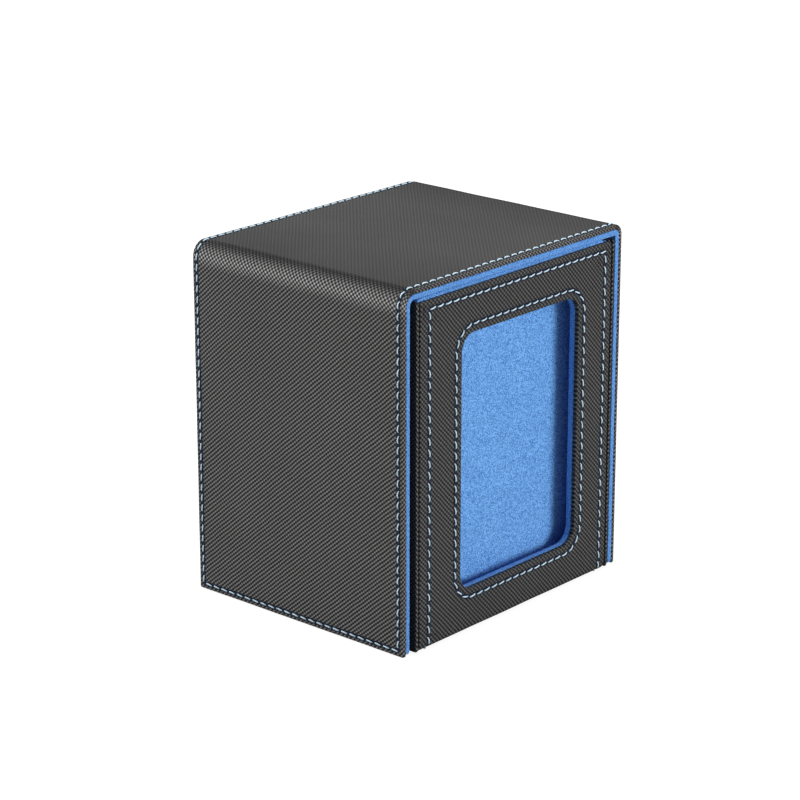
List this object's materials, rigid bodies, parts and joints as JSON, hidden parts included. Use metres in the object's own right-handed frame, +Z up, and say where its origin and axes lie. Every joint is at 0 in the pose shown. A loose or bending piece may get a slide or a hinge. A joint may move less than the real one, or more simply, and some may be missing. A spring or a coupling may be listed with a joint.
{
  "type": "card storage box",
  "caption": "Upright card box: a leather-look shell lifts off a blue-lined core with a rounded front display window and a card slot behind it.",
  "frame": {"origin": "on the table, under the middle of the box", "axes": "+X to the right along the front, -Y out of the window, +Z up"},
  "size_m": [0.105, 0.09, 0.115],
  "materials": {
    "leather": "dark grey embossed leather look, turned over the edges and sewn",
    "microfibre": "blue suede-like microfibre wrapped over board",
    "board": "stiff grey board, hidden in the leather",
    "magnet": "nickel-plated disc"
  },
  "bodies": {
    "core": {"core_cover": "leather", "side_cover_left": "leather", "side_cover_right": "leather", "front_board": "board", "bottom_board": "board", "back_board": "board", "side_board_left": "board", "side_board_right": "board", "window_lining": "microfibre", "back_lining": "microfibre", "floor_lining": "microfibre", "inner_wall": "microfibre", "side_lining_left": "microfibre", "side_lining_right": "microfibre", "core_magnet_left_front": "magnet", "core_magnet_left_back": "magnet", "core_magnet_right_front": "magnet", "core_magnet_right_back": "magnet"},
    "shell": {"shell_cover": "leather", "shell_board_left": "board", "shell_board_top": "board", "shell_board_right": "board", "shell_lining_left": "microfibre", "shell_lining_top": "microfibre", "shell_lining_right": "microfibre", "shell_magnet_left_front": "magnet", "shell_magnet_left_back": "magnet", "shell_magnet_right_front": "magnet", "shell_magnet_right_back": "magnet"}
  },
  "joints": [
    {"name": "shell_lift", "type": "slide", "parent": "core", "child": "shell", "axis": [0, 0, 1], "range_m": [0, 0.125]}
  ]
}
